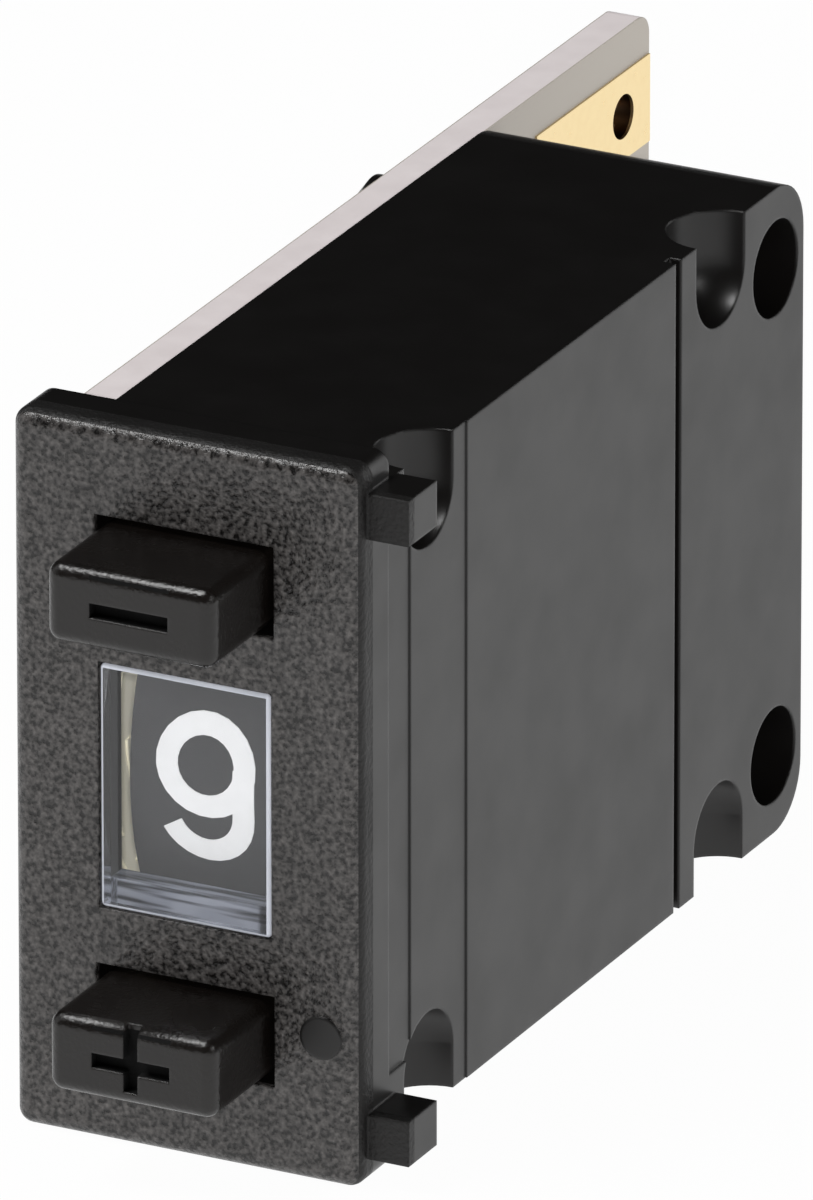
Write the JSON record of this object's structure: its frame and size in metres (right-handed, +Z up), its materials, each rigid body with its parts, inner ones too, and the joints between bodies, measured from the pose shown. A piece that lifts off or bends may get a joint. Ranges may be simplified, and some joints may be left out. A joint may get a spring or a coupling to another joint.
{
  "type": "push-button code switch",
  "caption": "Black push-button code switch module with plus and minus keys, a clear window over a numbered wheel, stacking lugs, tie rod holes and a coded circuit board with solder terminals.",
  "frame": {"origin": "centre of the front plate's back face, in the panel plane", "axes": "+X to the right across the stack, +Y back into the panel, +Z up from the plus key to the minus key"},
  "size_m": [0.0093, 0.0303, 0.016],
  "materials": {
    "black_moulding": "spark-eroded grain on the front plate, smooth sides",
    "button_moulding": "satin",
    "clear_lens": "clear polished plastic",
    "wheel_moulding": "matt",
    "white_print": "printed",
    "spring_steel": "bright",
    "axle_steel": "ground",
    "washer_plastic": "natural",
    "gold_plating": "bright gold flash",
    "board_laminate": "pale grey laminate"
  },
  "bodies": {
    "housing": {"housing": "black_moulding", "window_lens": "clear_lens", "wheel_axle": "axle_steel", "thrust_washer": "washer_plastic", "detent_spring": "spring_steel", "circuit_board": "board_laminate", "common_track": "gold_plating", "eight_track": "gold_plating", "four_track": "gold_plating", "two_track": "gold_plating", "one_track": "gold_plating"},
    "wheel": {"number_wheel": "wheel_moulding", "wheel_numerals": "white_print", "contact_brush": "gold_plating"},
    "minus_slider": {"minus_button": "button_moulding", "minus_pawl": "spring_steel", "minus_return_spring": "spring_steel"},
    "plus_slider": {"plus_button": "button_moulding", "plus_pawl": "spring_steel", "plus_return_spring": "spring_steel"}
  },
  "joints": [
    {"name": "wheel_spin", "type": "hinge", "parent": "housing", "child": "wheel", "pos_m": [0, 0.0062, 0], "axis": [1, 0, 0], "continuous": true, "deforming": ["detent_spring"]},
    {"name": "minus_press", "type": "slide", "parent": "housing", "child": "minus_slider", "axis": [0, 1, 0], "range_m": [0, 0.0016], "stiffness_N_per_m": 200, "springref_m": -0.001, "deforming": ["minus_return_spring"]},
    {"name": "plus_press", "type": "slide", "parent": "housing", "child": "plus_slider", "axis": [0, 1, 0], "range_m": [0, 0.0016], "stiffness_N_per_m": 200, "springref_m": -0.001, "deforming": ["plus_return_spring"]}
  ]
}
